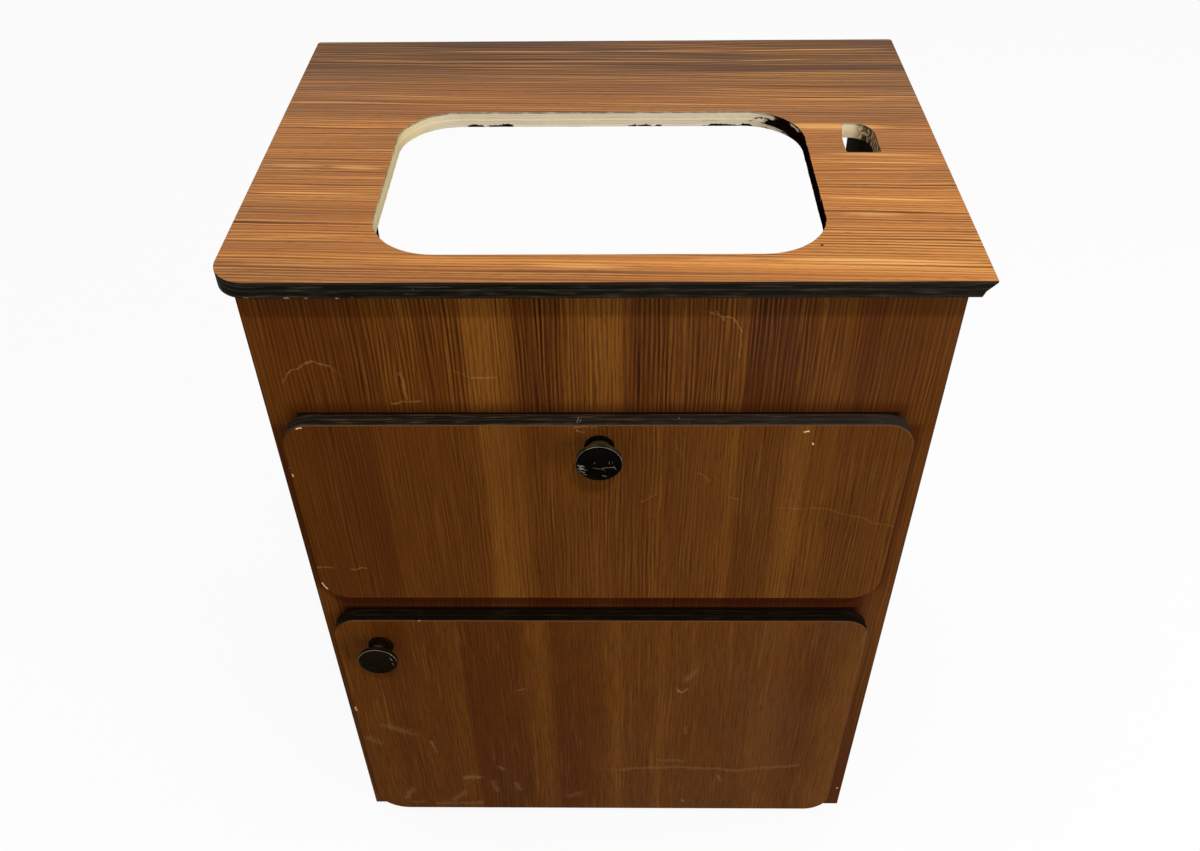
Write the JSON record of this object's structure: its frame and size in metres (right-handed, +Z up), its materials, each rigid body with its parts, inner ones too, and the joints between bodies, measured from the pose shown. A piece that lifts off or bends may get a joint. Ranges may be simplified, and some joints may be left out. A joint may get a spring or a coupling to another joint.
{
  "type": "vanity unit",
  "caption": "Free-standing plywood washroom vanity with a basin cut-out and tap hole in its worktop, a drop-down flap held by a quadrant stay, a hinged door and an open back.",
  "frame": {"origin": "on the floor, at the middle of the whole unit's width and depth", "axes": "+X to the viewer's right, +Y towards the open back, +Z up; the flap and the door face -Y"},
  "size_m": [0.6, 0.4598, 0.8],
  "materials": {
    "worktop_laminate": "honey wood-print plywood, satin, black painted edge",
    "front_laminate": "brown wood-print plywood, satin, black painted edge",
    "raw_plywood": "bare plywood",
    "softwood": "planed softwood",
    "black_lacquer": "turned wood, gloss black lacquer, worn rim",
    "zinc_steel": "zinc-plated steel",
    "brown_plastic": "brown moulded plastic"
  },
  "bodies": {
    "carcass": {"worktop": "worktop_laminate", "front_panel": "front_laminate", "left_side": "front_laminate", "right_side": "front_laminate", "base_board": "raw_plywood", "middle_shelf": "raw_plywood", "rear_top_rail": "raw_plywood", "rear_bottom_rail": "raw_plywood", "front_batten_left": "softwood", "front_batten_right": "softwood", "top_batten_left": "softwood", "top_batten_right": "softwood", "shelf_batten_left": "softwood", "shelf_batten_right": "softwood", "base_batten_left": "softwood", "base_batten_right": "softwood", "worktop_screw_left_front": "zinc_steel", "worktop_screw_left_back": "zinc_steel", "worktop_screw_right_front": "zinc_steel", "worktop_screw_right_back": "zinc_steel", "flap_hinge_left_fixed_leaf": "zinc_steel", "flap_hinge_left_pin": "zinc_steel", "flap_hinge_right_fixed_leaf": "zinc_steel", "flap_hinge_right_pin": "zinc_steel", "door_hinge_upper_fixed_leaf": "zinc_steel", "door_hinge_upper_pin": "zinc_steel", "door_hinge_lower_fixed_leaf": "zinc_steel", "door_hinge_lower_pin": "zinc_steel", "flap_catch": "brown_plastic", "flap_catch_magnet": "zinc_steel", "flap_catch_screw_left": "zinc_steel", "flap_catch_screw_right": "zinc_steel", "door_catch": "brown_plastic", "door_catch_magnet": "zinc_steel", "door_catch_screw_lower": "zinc_steel", "door_catch_screw_upper": "zinc_steel", "stay_guide": "zinc_steel", "stay_guide_screw_lower": "zinc_steel", "stay_guide_screw_upper": "zinc_steel"},
    "flap": {"flap_panel": "front_laminate", "flap_knob": "black_lacquer", "flap_knob_bolt": "zinc_steel", "flap_hinge_left_moving_leaf": "zinc_steel", "flap_hinge_right_moving_leaf": "zinc_steel", "flap_strike_plate": "zinc_steel", "flap_strike_screw_left": "zinc_steel", "flap_strike_screw_right": "zinc_steel", "quadrant_stay": "zinc_steel", "stay_stop_pin": "zinc_steel", "stay_foot_screw_lower": "zinc_steel", "stay_foot_screw_upper": "zinc_steel"},
    "door": {"door_panel": "front_laminate", "door_knob": "black_lacquer", "door_knob_bolt": "zinc_steel", "door_hinge_upper_moving_leaf": "zinc_steel", "door_hinge_lower_moving_leaf": "zinc_steel", "door_strike_plate": "zinc_steel", "door_strike_screw_lower": "zinc_steel", "door_strike_screw_upper": "zinc_steel"}
  },
  "joints": [
    {"name": "flap_hinge", "type": "hinge", "parent": "carcass", "child": "flap", "pos_m": [-0.004, -0.1926, 0.4203], "axis": [1, 0, 0], "range_deg": [0, 85]},
    {"name": "door_hinge", "type": "hinge", "parent": "carcass", "child": "door", "pos_m": [0.2712, -0.1926, 0.2023], "axis": [0, 0, 1], "range_deg": [0, 105]}
  ]
}
